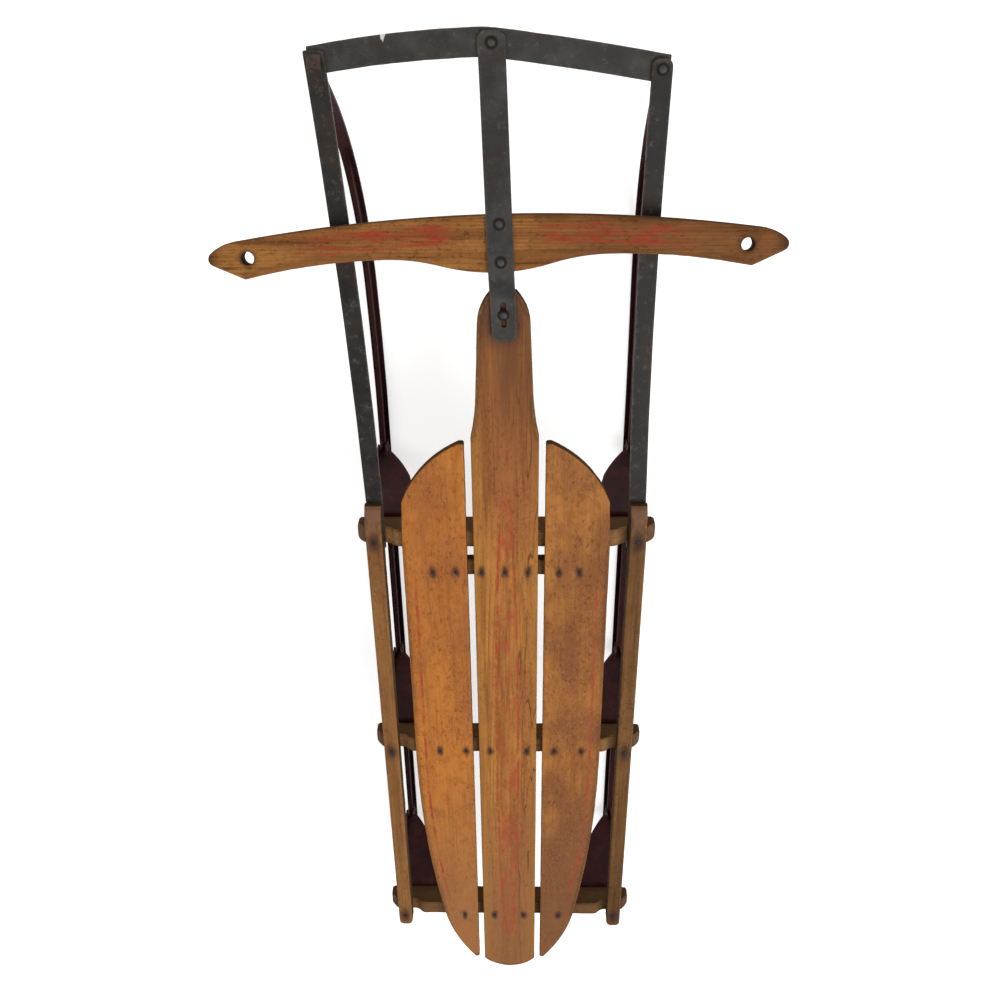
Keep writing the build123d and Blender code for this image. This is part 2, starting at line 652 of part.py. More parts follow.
# Pivot bolt through the tongue's slot and the neck of the centre slat
bolt_seat = tongue_tail_z + STRAP_T + RUN_GAP
bolt_sizes = (BOLT_R, BOLT_HEAD_R, BOLT_HEAD_H, BOLT_NUT_R, BOLT_NUT_H)
pivot_bolt = make_rivet(steer_plane, deck_under, bolt_seat, *bolt_sizes)
save(pivot_bolt, "pivot_bolt")

# Rivet that joins the tongue to the bumper and lets it turn
rivet_sizes = (RIVET_R, RIVET_HEAD_R, RIVET_HEAD_H, RIVET_HEAD_R, RIVET_TAIL_H)
nose_seat = tongue_nose_z + STRAP_T + RUN_GAP
nose_rivet = make_rivet(rivet_plane, bumper_under, nose_seat, *rivet_sizes)
save(nose_rivet, "tongue_rivet")

# Corner fasteners through side bar, bumper and runner lug: a rivet, or a bolt with a square head
corner_seat = end_top + RUN_GAP
for side, _, _, _, square in SIDES:
    base = turned(corners[side].X, corners[side].Y, BUMPER_TURN_DEG)
    plain_rivet = make_rivet(base, lug_under - RUN_GAP, corner_seat, *rivet_sizes)
    with BuildPart() as corner_rivet:
        add(plain_rivet.part)
        if square:
            with BuildSketch(base.offset(corner_seat)):
                Rectangle(square, square)
            extrude(amount=SQUARE_HEAD_H)
            chamfer(corner_rivet.edges().group_by(Axis.Z)[-1], length=SQUARE_HEAD_CLIP)
    save(corner_rivet, f"corner_rivet_{side}")

# Rivets that hold the tongue on the handlebar, square to its slope
clamps = []
for y in handle_rivet_ys:
    base = Plane(
        origin=slope_plane.from_local_coords(Vector(0, y, 0)),
        x_dir=slope_plane.x_dir,
        z_dir=slope_plane.z_dir,
    )
    clamps.append(make_rivet(base, -HANDLE_T, STRAP_T, *rivet_sizes).part)
with BuildPart() as handlebar_rivets:
    add(clamps)
save(handlebar_rivets, "handlebar_rivets")
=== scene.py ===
import math
import random

import bmesh
import bpy
from mathutils import Matrix, Vector, kdtree, noise


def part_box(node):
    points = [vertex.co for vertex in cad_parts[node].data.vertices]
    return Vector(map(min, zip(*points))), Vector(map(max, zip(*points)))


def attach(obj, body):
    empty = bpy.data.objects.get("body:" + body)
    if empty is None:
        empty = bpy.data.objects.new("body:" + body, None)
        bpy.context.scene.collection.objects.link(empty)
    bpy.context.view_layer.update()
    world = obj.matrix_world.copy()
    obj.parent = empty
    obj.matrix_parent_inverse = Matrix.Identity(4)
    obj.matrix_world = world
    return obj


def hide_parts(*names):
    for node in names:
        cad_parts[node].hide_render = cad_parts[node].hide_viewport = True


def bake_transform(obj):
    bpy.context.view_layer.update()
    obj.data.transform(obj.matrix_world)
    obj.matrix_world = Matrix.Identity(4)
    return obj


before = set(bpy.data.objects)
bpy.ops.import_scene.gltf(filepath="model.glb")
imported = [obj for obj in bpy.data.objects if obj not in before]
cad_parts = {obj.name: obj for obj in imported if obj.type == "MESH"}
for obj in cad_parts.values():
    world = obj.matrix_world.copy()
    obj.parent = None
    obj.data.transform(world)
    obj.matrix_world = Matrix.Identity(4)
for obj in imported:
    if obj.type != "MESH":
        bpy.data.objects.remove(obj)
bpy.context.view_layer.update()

# Steerable wooden runner sled, dressed around its fixed frame. Metres, +X to the rider's right,
# +Y forward, +Z up, the ground at zero.

# Camera of the reference view: place, axes, and focal length in pixels of the 994 x 995 picture
CAMERA_PLACE = (0.01618, 0.73443, 1.15199)
CAMERA_RIGHT = (0.99975, -0.01216, -0.0187)
CAMERA_UP = (0.00119, 0.86641, -0.49933)
CAMERA_BACK = (0.02227, 0.49918, 0.86621)
FOCAL_PIXELS = 1030.0
PICTURE_SIDE = 995.0
SENSOR = 36.0

# Working the frame's solids: welding, which edges are softened, which are ridges that wear
WELD = 1e-6
FLAT_ANGLE = math.radians(0.4)
RIDGE_ANGLE = math.radians(12)
SOFTEN_ANGLE = math.radians(35)
SHADE_ANGLE = math.radians(50)
RIDGE_SPACING = 0.002
RIDGE_REACH = 0.007
DENT_FREQUENCY = 70.0

# Mesh work of each kind of piece: edge softening, cutting steps across the axes, deepest dent
SLAT_WORK = {"soften": 0.0006, "step": (0.006, 0.012, 0.006), "dent": 0.0007}
RAIL_WORK = {"soften": 0.0008, "step": (0.005, 0.012, 0.005), "dent": 0.0012}
CROSSBAR_WORK = {"soften": 0.0012, "step": (0.01, 0.005, 0.005), "dent": 0.0012}
CLEAT_WORK = {"soften": 0.001, "step": (0.01, 0.005, 0.005), "dent": 0.001}
HANDLE_WORK = {"soften": 0.0008, "step": (0.008, 0.006, 0.006), "dent": 0.0008}
BUMPER_WORK = {"soften": 0.0006, "step": (0.012, 0.006, 0), "dent": 0.0005}
TONGUE_WORK = {"soften": 0.0006, "step": (0.006, 0.01, 0)}
RUNNER_WORK = {"soften": 0.0006, "step": (0.006, 0.012, 0.012)}
KNEE_WORK = {"soften": 0.0006, "step": (0.006, 0.008, 0.008)}

# Fasteners that only the scene has: deck nails by row (station, places across) and rail bolts
NAIL_ROWS = (
    (0.0685, (-0.0844, -0.0578, -0.0278, -0.0013, 0.0253, 0.0611, 0.0842)),
    (-0.208, (-0.0867, -0.0531, -0.0222, 0.0249, 0.0597, 0.0944)),
    (-0.524, (-0.0637, -0.0205, 0.0208, 0.0698)),
)
NAIL_R = 0.0019
RAIL_BOLT_R = 0.0031
SEED = 7


def srgb(red, green, blue):
    """Linear colour of an 8-bit screen colour."""
    return tuple(
        c / 255 / 12.92 if c <= 10 else ((c / 255 + 0.055) / 1.055) ** 2.4 for c in (red, green, blue)
    ) + (1.0,)


class Finish:
    """A procedural material, built up by short calls that each give back an output."""

    def __init__(self, name):
        self.material = bpy.data.materials.new(name)
        self.material.use_nodes = True
        self.nodes = self.material.node_tree.nodes
        self.links = self.material.node_tree.links
        self.nodes.clear()
        source = self.add("TexCoord").outputs
        self.place = source["Object"]
        self.upward = self.axes(source["Normal"])[2]
        self.edge = self.add("Attribute", attribute_name="edge").outputs["Fac"]

    def add(self, kind, inputs=None, **settings):
        node = self.nodes.new("ShaderNode" + kind)
        for key, value in settings.items():
            setattr(node, key, value)
        for key, value in (inputs or {}).items():
            if isinstance(value, bpy.types.NodeSocket):
                self.links.new(value, node.inputs[key])
            else:
                node.inputs[key].default_value = value
        return node

    def math(self, operation, *values):
        return self.add("Math", dict(enumerate(values)), operation=operation).outputs[0]

    def moved(self, vector, shift=(0, 0, 0), turn=(0, 0, 0), scale=(1, 1, 1)):
        inputs = {"Vector": vector, "Location": shift, "Rotation": turn, "Scale": scale}
        return self.add("Mapping", inputs).outputs[0]

    def axes(self, vector):
        return self.add("SeparateXYZ", {0: vector}).outputs

    def grain(self, vector, size, detail=3.0, roughness=0.55, drawn=(1, 1, 1)):
        """Noise from 0 to 1 with features of about that size, longer along the drawn axes."""
        scale = tuple(1 / (size * d) for d in drawn)
        stretched = self.moved(vector, scale=scale)
        inputs = {"Vector": stretched, "Scale": 1.0, "Detail": detail, "Roughness": roughness}
        return self.add("TexNoise", inputs).outputs["Fac"]

    def span(self, value, low, high, start=0.0, end=1.0):
        """Smooth step of value from start at low to end at high."""
        inputs = {0: value, 1: low, 2: high, 3: start, 4: end}
        return self.add("MapRange", inputs, interpolation_type="SMOOTHSTEP").outputs[0]

    def mix(self, share, under, over):
        return self.add("Mix", {0: share, 6: under, 7: over}, data_type="RGBA").outputs[2]

    def nearest(self, points, drawn):
        """Distance to the nearest of some points, measured shorter along the drawn axes."""
        stretched = self.moved(self.place, scale=drawn)
        least = None
        for point in points:
            target = tuple(p * d for p, d in zip(point, drawn))
            inputs = {0: stretched, 1: target}
            gap = self.add("VectorMath", inputs, operation="DISTANCE").outputs["Value"]
            least = gap if least is None else self.math("MINIMUM", least, gap)
        return least

    def close(self, color, roughness, relief, depth, **constants):
        bump = self.add("Bump", {"Height": relief, "Strength": 1.0, "Distance": depth}).outputs[0]
        inputs = {"Base Color": color, "Roughness": roughness, "Normal": bump}
        shader = self.add("BsdfPrincipled", {**inputs, **constants}).outputs[0]
        self.add("OutputMaterial", {"Surface": shader})
        return self.material


# Wood: every board is cut from its own place in a trunk, so rings, arches and end grain differ
RING_WAVE = math.pi / 10
PALE_SPECK = srgb(226, 188, 128)
GRAIN_DRAW = 0.07
WOOD_SHEEN = {"Specular IOR Level": 0.07}


def timber(finish, tones, pith, ring, lean, along_x=False, rings=0.5, streaks=0.6, flecks=0.45,
           mottles=0.4):
    """Colour and relief of a sawn board. Tones are early wood, late wood, blotches and pores."""
    early, late, blotch, pore = tones
    turn = (lean, 0, math.pi / 2 if along_x else 0)
    trunk = finish.moved(finish.place, shift=pith, turn=turn)
    drawn = finish.moved(trunk, scale=(1, GRAIN_DRAW, 1))
    wave = {"Vector": drawn, "Scale": RING_WAVE / ring, "Distortion": 5.0, "Detail": 2.0,
            "Detail Scale": 0.25, "Detail Roughness": 0.6}
    growth = finish.add("TexWave", wave, wave_type="RINGS", rings_direction="Y",
                        wave_profile="SAW").outputs["Fac"]
    faint = finish.grain(trunk, 0.03, 2.0, drawn=(1, 6, 1))
    strength = finish.span(faint, 0.35, 0.65, 0.2 * rings, rings)
    late_share = finish.math("MULTIPLY", finish.span(growth, 0.35, 1.0), strength)
    color = finish.mix(late_share, early, late)
    patch = finish.grain(trunk, 0.08, 4.0, 0.6, drawn=(1, 2.5, 1))
    color = finish.mix(finish.span(patch, 0.42, 0.66, 0.0, 0.85), color, blotch)
    band = finish.grain(trunk, 0.011, 3.0, 0.6, drawn=(1, 30, 1))
    color = finish.mix(finish.span(band, 0.45, 0.68, 0.0, streaks), color, late)
    streak = finish.grain(trunk, 0.0032, 4.0, 0.65, drawn=(1, 45, 1))
    color = finish.mix(finish.span(streak, 0.5, 0.75, 0.0, streaks), color, pore)
    mottle = finish.grain(trunk, 0.014, 5.0, 0.7, drawn=(1, 1.6, 1))
    color = finish.mix(finish.span(mottle, 0.46, 0.66, 0.0, mottles), color, late)
    cluster = finish.span(finish.grain(trunk, 0.05, 3.0, 0.6, drawn=(1, 2, 1)), 0.36, 0.58, 0.15, 1.0)
    fleck = finish.grain(trunk, 0.0028, 3.0, 0.65, drawn=(1, 2.4, 1))
    pores = finish.math("MULTIPLY", finish.span(fleck, 0.55, 0.68), cluster)
    color = finish.mix(finish.math("MULTIPLY", pores, flecks), color, pore)
    speck = finish.grain(finish.place, 0.0024, 4.0, 0.75)
    pale = finish.mix(0.25, early, PALE_SPECK)
    color = finish.mix(finish.span(speck, 0.54, 0.72, 0.0, flecks), color, pale)
    relief = finish.math("SUBTRACT", finish.math("MULTIPLY", late_share, 0.4), pores)
    return color, relief, patch


def varnish(finish, patch, low=0.36, high=0.62):
    """Roughness of varnish that is worn through in places and gone from the upright faces."""
    rub = finish.grain(finish.place, 0.012, 4.0, 0.7)
    worn = finish.math("ADD", finish.math("MULTIPLY", patch, 0.5), finish.math("MULTIPLY", rub, 0.5))
    polish = finish.span(worn, 0.35, 0.65, low, high)
    return finish.math("MAXIMUM", polish, finish.span(finish.upward, 0.3, 0.8, 1.0, 0.0))


def worn_edges_and_upright_shade(finish, color, bare, dirt_and_shade):
    """Painted shade on the upright faces, grime just inside the edges, a little bare wood on the edges
    themselves.
    """
    ragged = finish.math("ADD", finish.edge, finish.grain(finish.place, 0.006, 4.0, 0.7))
    color = finish.mix(finish.span(ragged, 0.75, 1.25, 0.0, 0.3), color, dirt_and_shade)
    color = finish.mix(finish.span(ragged, 1.35, 1.65, 0.0, 0.35), color, bare)
    # Painted shade: upright faces turn most of the way to the dark tone, standing in for the shade they
    # are in
    return finish.mix(finish.span(finish.upward, 0.15, 0.65, 0.88, 0.0), color, dirt_and_shade)


def faded(finish, mask, size=0.009, keep=0.47):
    """A painted area with most of its paint rubbed off along the grain."""
    chips = finish.grain(finish.place, size, 5.0, 0.75, drawn=(1, 2, 1))
    return finish.math("MULTIPLY", mask, finish.span(chips, keep - 0.12, keep + 0.14))


def stripe(finish, across, line, half_width):
    """Mask of a line where the across value is close to the line value."""
    off = finish.math("ABSOLUTE", finish.math("SUBTRACT", across, line))
    return finish.span(off, half_width * 0.6, half_width * 1.3, 1.0, 0.0)


def stained(finish, color, points, tone, core=0.0044, rim=0.0104, share=0.9):
    """Dark iron stains drawn out along the grain around each nail or bolt."""
    gap = finish.nearest(points, (1, 0.52, 0))
    seep = finish.grain(finish.place, 0.006, 3.0, 0.6, drawn=(1, 1.8, 1))
    ragged = finish.math("ADD", gap, finish.math("MULTIPLY", seep, 0.007))
    halo = finish.span(ragged, core, rim, share, 0.0)
    return finish.mix(halo, color, tone)


FADED_RED = srgb(174, 78, 54)
SLAT_TONES = {
    "left": (srgb(205, 129, 59), srgb(166, 97, 44), srgb(168, 101, 58), srgb(102, 60, 31)),
    "center": (srgb(196, 132, 66), srgb(148, 91, 47), srgb(166, 100, 61), srgb(96, 59, 31)),
    "right": (srgb(192, 127, 64), srgb(143, 87, 48), srgb(130, 82, 55), srgb(88, 54, 32)),
}
CENTER_FIGURE = {"rings": 0.65, "streaks": 0.8, "flecks": 0.4, "mottles": 0.3}
SIDE_FIGURE = {"rings": 0.2, "streaks": 0.4, "flecks": 0.55, "mottles": 0.6}
SLAT_REAR = {"left": srgb(164, 112, 72), "center": srgb(150, 102, 68), "right": srgb(134, 90, 60)}
IRON_STAIN = srgb(52, 44, 46)
# Dark brown of the grime inside the slats' edges, also the painted shade on their upright faces
DECK_GRIME_AND_SHADE = srgb(38, 25, 16)
DECK_BARE = srgb(190, 140, 84)
NECK_GREY = srgb(116, 76, 50)
TONGUE_TAIL = (-0.001, 0.372, 0.0)
TONGUE_SEEP = srgb(84, 60, 54)
EDGE_GOLD = srgb(176, 124, 58)
GRAIN_LINE = srgb(84, 52, 28)
SCRATCH = srgb(206, 160, 108)
NICK = srgb(92, 58, 36)

# Pinstripes: inset line along the side slats, long oval along the centre slat
SIDE_LINE_X = 0.105
SIDE_LINE_BEND_Y = -0.222
SIDE_LINE_BEND = 0.296
SIDE_LINE_FRONT = 0.07
SIDE_LINE_REAR = -0.50
SIDE_LINE_FADE = 0.04
OVAL_Y = -0.2
OVAL_HALF_LEN = 0.37
OVAL_HALF_W = 0.0135
LINE_HALF_W = 0.0016


def nails_between(low, high):
    return [(x, y, 0.0) for y, row in NAIL_ROWS for x in row if low < x < high]


def slat_wood(side, low, high, pith, ring, lean):
    """Deck slat: amber varnish, iron-stained nails, and what is left of a red pinstripe."""
    finish = Finish("deck_wood_" + side)
    figure = CENTER_FIGURE if side == "center" else SIDE_FIGURE
    color, relief, patch = timber(finish, SLAT_TONES[side], pith, ring, lean, **figure)
    across, along, _ = finish.axes(finish.place)
    reach = finish.math("ABSOLUTE", across)
    color = finish.mix(finish.span(along, -0.2, -0.55, 0.0, 0.75), color, SLAT_REAR[side])
    nick = finish.grain(finish.place, 0.006, 5.0, 0.8, drawn=(1, 1.5, 1))
    color = finish.mix(finish.span(nick, 0.55, 0.7, 0.0, 0.45), color, NICK)
    scratch = finish.grain(finish.place, 0.0042, 5.0, 0.8, drawn=(1, 2, 1))
    weather = finish.span(along, 0.15, -0.6, 0.25, 0.5)
    pale = finish.mix(0.4, SLAT_REAR[side], SCRATCH)
    color = finish.mix(finish.math("MULTIPLY", finish.span(scratch, 0.54, 0.68), weather), color, pale)
    if side == "center":
        share = finish.math("DIVIDE", finish.math("SUBTRACT", along, OVAL_Y), OVAL_HALF_LEN)
        left_over = finish.math("SUBTRACT", 1.0, finish.math("MULTIPLY", share, share))
        round_off = finish.math("SQRT", finish.math("MAXIMUM", left_over, 0.0))
        line = finish.math("MULTIPLY", round_off, OVAL_HALF_W)
        inside = finish.span(left_over, 0.0, 0.05)
        ghost = finish.math("MULTIPLY", finish.span(reach, 0.007, 0.015, 0.75, 0.0), inside)
        color = finish.mix(faded(finish, ghost, 0.016, 0.54), color, FADED_RED)
        color = finish.mix(finish.span(reach, 0.02, 0.036, 0.0, 0.4), color, EDGE_GOLD)
        hills = finish.grain(finish.place, 0.03, 3.0, 0.5, drawn=(1, 14, 1))
        level = finish.math("MULTIPLY", hills, 9.0)
        contour = finish.span(finish.math("PINGPONG", level, 0.5), 0.0, 0.07, 0.75, 0.0)
        lopsided = finish.math("ADD", across, finish.math("MULTIPLY", reach, 0.4))
        beside = finish.span(lopsided, 0.006, 0.024)
        color = finish.mix(finish.math("MULTIPLY", contour, beside), color, GRAIN_LINE)
        streak = finish.grain(finish.place, 0.009, 4.0, 0.6, drawn=(1, 20, 1))
        neck = finish.span(along, 0.14, 0.34)
        grey = finish.math("MULTIPLY", neck, finish.span(streak, 0.35, 0.6, 0.35, 0.85))
        color = finish.mix(grey, color, NECK_GREY)
        gap = finish.nearest([TONGUE_TAIL], (1, 0.7, 0))
        seep = finish.math("ADD", gap, finish.math("MULTIPLY", streak, 0.012))
        color = finish.mix(finish.span(seep, 0.016, 0.034, 0.8, 0.0), color, TONGUE_SEEP)
    else:
        behind = finish.math("MAXIMUM", finish.math("SUBTRACT", SIDE_LINE_BEND_Y, along), 0.0)
        bend = finish.math("MULTIPLY", finish.math("MULTIPLY", behind, behind), SIDE_LINE_BEND)
        line = finish.math("SUBTRACT", SIDE_LINE_X, bend)
        front = finish.span(along, SIDE_LINE_FRONT - SIDE_LINE_FADE, SIDE_LINE_FRONT, 1.0, 0.0)
        rear = finish.span(along, SIDE_LINE_REAR, SIDE_LINE_REAR + SIDE_LINE_FADE)
        inside = finish.math("MULTIPLY", front, rear)
    mask = finish.math("MULTIPLY", stripe(finish, reach, line, LINE_HALF_W), inside)
    color = finish.mix(faded(finish, mask), color, FADED_RED)
    color = stained(finish, color, nails_between(low, high), IRON_STAIN)
    color = worn_edges_and_upright_shade(finish, color, DECK_BARE, DECK_GRIME_AND_SHADE)
    return finish.close(color, varnish(finish, patch), relief, 0.0003, **WOOD_SHEEN)


RAIL_TONES = {
    "left": (srgb(158, 110, 64), srgb(126, 82, 44), srgb(134, 90, 54), srgb(78, 50, 28)),
    "right": (srgb(132, 92, 54), srgb(98, 66, 38), srgb(104, 72, 46), srgb(62, 42, 26)),
}
BAR_TONES = (srgb(174, 129, 83), srgb(134, 94, 58), srgb(134, 98, 66), srgb(76, 53, 35))
# Dark brown of the grime to the rear and inside the edges, also the painted shade on the upright faces of
# rails, crossbars and cleat
BAR_GRIME_AND_SHADE = srgb(62, 43, 26)
BAR_BARE = srgb(150, 112, 70)
RAIL_BARE = srgb(176, 132, 84)
RAIL_SCUFF = srgb(134, 98, 78)
BOLT_STAIN = srgb(58, 42, 44)
STUB_STAIN = srgb(82, 54, 43)
RAIL_STATIONS = (0.108, -0.211, -0.528)
RAIL_X = 0.1495
RAIL_WORN_Y = 0.118


def rail_wood(side, sign, pith):
    """Side rail: browned varnish, purple-black stains at the bolts, a bare scuffed front end."""
    finish = Finish("frame_wood_rail_" + side)
    color, relief, patch = timber(finish, RAIL_TONES[side], pith, 0.0032, 0.012)
    along = finish.axes(finish.place)[1]
    ragged = finish.math("ADD", along, finish.math("MULTIPLY", patch, 0.03))
    scuff = finish.span(ragged, RAIL_WORN_Y, RAIL_WORN_Y + 0.04, 0.0, 0.7)
    color = finish.mix(scuff, color, RAIL_SCUFF)
    bolts = [(sign * RAIL_X, y, 0.0) for y in RAIL_STATIONS]
    color = stained(finish, color, bolts, BOLT_STAIN, 0.0052, 0.0145, 0.78)
    color = worn_edges_and_upright_shade(finish, color, RAIL_BARE, BAR_GRIME_AND_SHADE)
    return finish.close(color, varnish(finish, patch, 0.42, 0.68), relief, 0.0004, **WOOD_SHEEN)


def bar_wood(name, pith):
    """Crossbars and cleat: rougher timber, grimier to the rear, stained outside the rails."""
    finish = Finish(name)
    color, relief, patch = timber(finish, BAR_TONES, pith, 0.0026, 0.02, along_x=True)
    across, along, _ = finish.axes(finish.place)
    color = finish.mix(finish.span(along, 0.05, -0.5, 0.0, 0.5), color, BAR_GRIME_AND_SHADE)
    reach = finish.math("ABSOLUTE", across)
    color = finish.mix(finish.span(reach, RAIL_X, RAIL_X + 0.016, 0.0, 0.7), color, STUB_STAIN)
    color = worn_edges_and_upright_shade(finish, color, BAR_BARE, BAR_GRIME_AND_SHADE)
    return finish.close(color, varnish(finish, patch, 0.5, 0.75), relief, 0.0005, **WOOD_SHEEN)


# Handlebar: frame at the middle of its front edge, turned with the steering and sloping down forward
HANDLE_TONES = (srgb(190, 130, 66), srgb(128, 80, 40), srgb(152, 98, 54), srgb(60, 37, 20))
HANDLE_SHADE = srgb(112, 70, 44)
HANDLE_RED = srgb(168, 62, 46)
HANDLE_TIP = srgb(48, 34, 24)
HANDLE_BARE = srgb(172, 122, 70)
# Dark brown of the grime inside the handlebar's edges, also the painted shade on its upright faces
HANDLE_GRIME_AND_SHADE = srgb(72, 47, 27)
HOLE_GRIME = srgb(70, 48, 32)
HANDLE_ORIGIN = (-0.00764, 0.47884, 0.16962)
HANDLE_STEER = math.radians(2.1)
HANDLE_SLOPE = math.radians(10.87)
HANDLE_TURN = math.radians(-0.8)
HANDLE_BOW_R = 1.723
HANDLE_STRIPES = (0.0115, 0.0215)
HANDLE_STRIPE_HALF_W = 0.005
ROPE_HOLE = (0.2411, -0.0345)


def handle_wood():
    """Handlebar: grain along the bow, remains of a double red stripe on each half, black tips."""
    finish = Finish("handle_wood")
    color, relief, patch = timber(finish, HANDLE_TONES, (0.02, 0.1, -0.11), 0.003, 0.03, along_x=True,
                                  rings=0.7, streaks=0.95, mottles=0.3)
    local = finish.moved(finish.place, shift=tuple(-c for c in HANDLE_ORIGIN))
    for turn in ((0, 0, -HANDLE_STEER), (HANDLE_SLOPE, 0, 0), (0, 0, -HANDLE_TURN)):
        local = finish.moved(local, turn=turn)
    across, along, _ = finish.axes(local)
    color = finish.mix(finish.span(across, -0.04, 0.12, 0.0, 0.6), color, HANDLE_SHADE)
    reach = finish.math("ABSOLUTE", across)
    drop = finish.math("DIVIDE", finish.math("MULTIPLY", across, across), 2 * HANDLE_BOW_R)
    inset = finish.math("SUBTRACT", finish.math("MULTIPLY", along, -1.0), drop)
    begin = finish.span(reach, 0.03, 0.06)
    length = finish.math("MULTIPLY", begin, finish.span(reach, 0.15, 0.2, 1.0, 0.0))
    chips = finish.grain(finish.place, 0.006, 5.0, 0.7, drawn=(7, 1, 1))
    left = finish.span(chips, 0.4, 0.62, 0.0, 0.85)
    for line in HANDLE_STRIPES:
        mask = finish.math("MULTIPLY", stripe(finish, inset, line, HANDLE_STRIPE_HALF_W), length)
        color = finish.mix(finish.math("MULTIPLY", mask, left), color, HANDLE_RED)
    tip = finish.span(reach, 0.262, 0.284, 0.0, 0.85)
    color = finish.mix(tip, color, HANDLE_TIP)
    color = worn_edges_and_upright_shade(finish, color, HANDLE_BARE, HANDLE_GRIME_AND_SHADE)
    side_x = finish.math("SUBTRACT", reach, ROPE_HOLE[0])
    side_y = finish.math("SUBTRACT", along, ROPE_HOLE[1])
    squares = [finish.math("MULTIPLY", leg, leg) for leg in (side_x, side_y)]
    gap = finish.math("SQRT", finish.math("ADD", *squares))
    rim = finish.span(gap, 0.0068, 0.0095, 0.55, 0.0)
    color = finish.mix(rim, color, HOLE_GRIME)
    return finish.close(color, varnish(finish, patch), relief, 0.0004, **WOOD_SHEEN)


# Steel: tones of patina, paint and rust
GREY_STEEL = (srgb(56, 54, 52), srgb(76, 73, 70))
BLACK_STEEL = (srgb(37, 35, 34), srgb(50, 48, 45))
STEEL_BLOOM = srgb(60, 46, 37)
STEEL_SCUFF = srgb(100, 96, 90)
STEEL_PIT = srgb(104, 98, 90)
STEEL_EDGE = srgb(98, 90, 82)
# Near-black ring round each rivet on the straps: partly oxide, partly painted shadow of the head
RIVET_OXIDE_AND_SHADOW = srgb(22, 18, 16)
CHIP_TONE = srgb(230, 228, 222)
STEEL_GLOSS = {"Metallic": 0.2, "Specular IOR Level": 0.3}
MAROON = (srgb(42, 15, 16), srgb(62, 26, 25))
RUST = srgb(70, 40, 28)
RUNNER_LIP = srgb(58, 34, 32)
KNEE_LIP = srgb(96, 66, 62)
PAINT_GLOSS = {"Specular IOR Level": 0.1}
# Near-black rim of the rivet and bolt crowns: partly oxide, partly painted shade
CROWN_OXIDE_AND_SHADE = srgb(24, 20, 18)
IRON_GLOSS = {"Metallic": 0.3, "Specular IOR Level": 0.3}


def strap_steel(name, tones, rivets, chip=None):
    """Dark steel strap: grey patina with brown bloom, fine pits, black rings round the rivets that are
    partly oxide and partly painted shadow of the heads.
    """
    finish = Finish(name)
    cloud = finish.grain(finish.place, 0.03, 5.0, 0.65)
    color = finish.mix(finish.span(cloud, 0.35, 0.7), *tones)
    bloom = finish.grain(finish.place, 0.05, 5.0, 0.7)
    color = finish.mix(finish.span(bloom, 0.46, 0.66, 0.0, 0.75), color, STEEL_BLOOM)
    scuff = finish.grain(finish.place, 0.009, 5.0, 0.8)
    color = finish.mix(finish.span(scuff, 0.54, 0.7, 0.0, 0.6), color, STEEL_SCUFF)
    speck = finish.grain(finish.place, 0.0018, 2.0, 0.5)
    pits = finish.span(speck, 0.66, 0.76)
    color = finish.mix(finish.math("MULTIPLY", pits, 0.5), color, STEEL_PIT)
    ragged = finish.math("ADD", finish.edge, finish.grain(finish.place, 0.004, 4.0, 0.7))
    color = finish.mix(finish.span(ragged, 1.2, 1.6, 0.0, 0.6), color, STEEL_EDGE)
    gap = finish.nearest(rivets, (1, 1, 0))
    # Painted shadow of the rivet heads, mixed with oxide, as a dark ring on the strap round each rivet
    color = finish.mix(finish.span(gap, 0.0054, 0.007, 0.8, 0.0), color, RIVET_OXIDE_AND_SHADOW)
    if chip:
        across, along, _ = finish.axes(finish.moved(finish.place, shift=tuple(-c for c in chip)))
        narrowing = finish.math("MULTIPLY", along, -0.42)
        wedge = finish.math("ADD", finish.math("ABSOLUTE", across), narrowing)
        fray = finish.math("MULTIPLY", finish.grain(finish.place, 0.004), 0.004)
        torn = finish.math("ADD", wedge, fray)
        color = finish.mix(finish.span(torn, 0.0018, 0.0026, 1.0, 0.0), color, CHIP_TONE)
    rough = finish.span(cloud, 0.3, 0.7, 0.42, 0.6)
    relief = finish.math("SUBTRACT", finish.math("MULTIPLY", cloud, 0.3), pits)
    return finish.close(color, rough, relief, 0.0003, **STEEL_GLOSS)


def maroon_steel(name, lip):
    """Runner and knee paint: near-black maroon, rust coming through, the lip colour on its edges."""
    finish = Finish(name)
    cloud = finish.grain(finish.place, 0.025, 5.0, 0.65)
    color = finish.mix(finish.span(cloud, 0.35, 0.7), *MAROON)
    rust = finish.grain(finish.place, 0.035, 6.0, 0.75)
    scab = finish.span(rust, 0.54, 0.7, 0.0, 0.7)
    color = finish.mix(scab, color, RUST)
    ragged = finish.math("ADD", finish.edge, finish.grain(finish.place, 0.005, 4.0, 0.7))
    color = finish.mix(finish.span(ragged, 1.2, 1.6, 0.0, 0.5), color, lip)
    rough = finish.span(cloud, 0.3, 0.7, 0.38, 0.6)
    relief = finish.math("ADD", cloud, scab)
    return finish.close(color, rough, relief, 0.0003, **PAINT_GLOSS)


def fastener_steel(name, dark, rusty, crowns=()):
    """Nail, bolt and rivet iron: dull brown-black, the crowns given left lighter inside a dark rim that
    is partly oxide and partly painted shade.
    """
    finish = Finish(name)
    cloud = finish.grain(finish.place, 0.003, 4.0, 0.7)
    color = finish.mix(finish.span(cloud, 0.35, 0.65), dark, rusty)
    if crowns:
        gap = finish.nearest(crowns, (1, 1, 0))
        # Painted shade, mixed with oxide, darkens each crown outside its middle so the crown top stands
        # lighter
        color = finish.mix(finish.span(gap, 0.0022, 0.0042, 0.0, 0.85), color, CROWN_OXIDE_AND_SHADE)
    rough = finish.span(cloud, 0.3, 0.7, 0.45, 0.7)
    return finish.close(color, rough, cloud, 0.0003, **IRON_GLOSS)


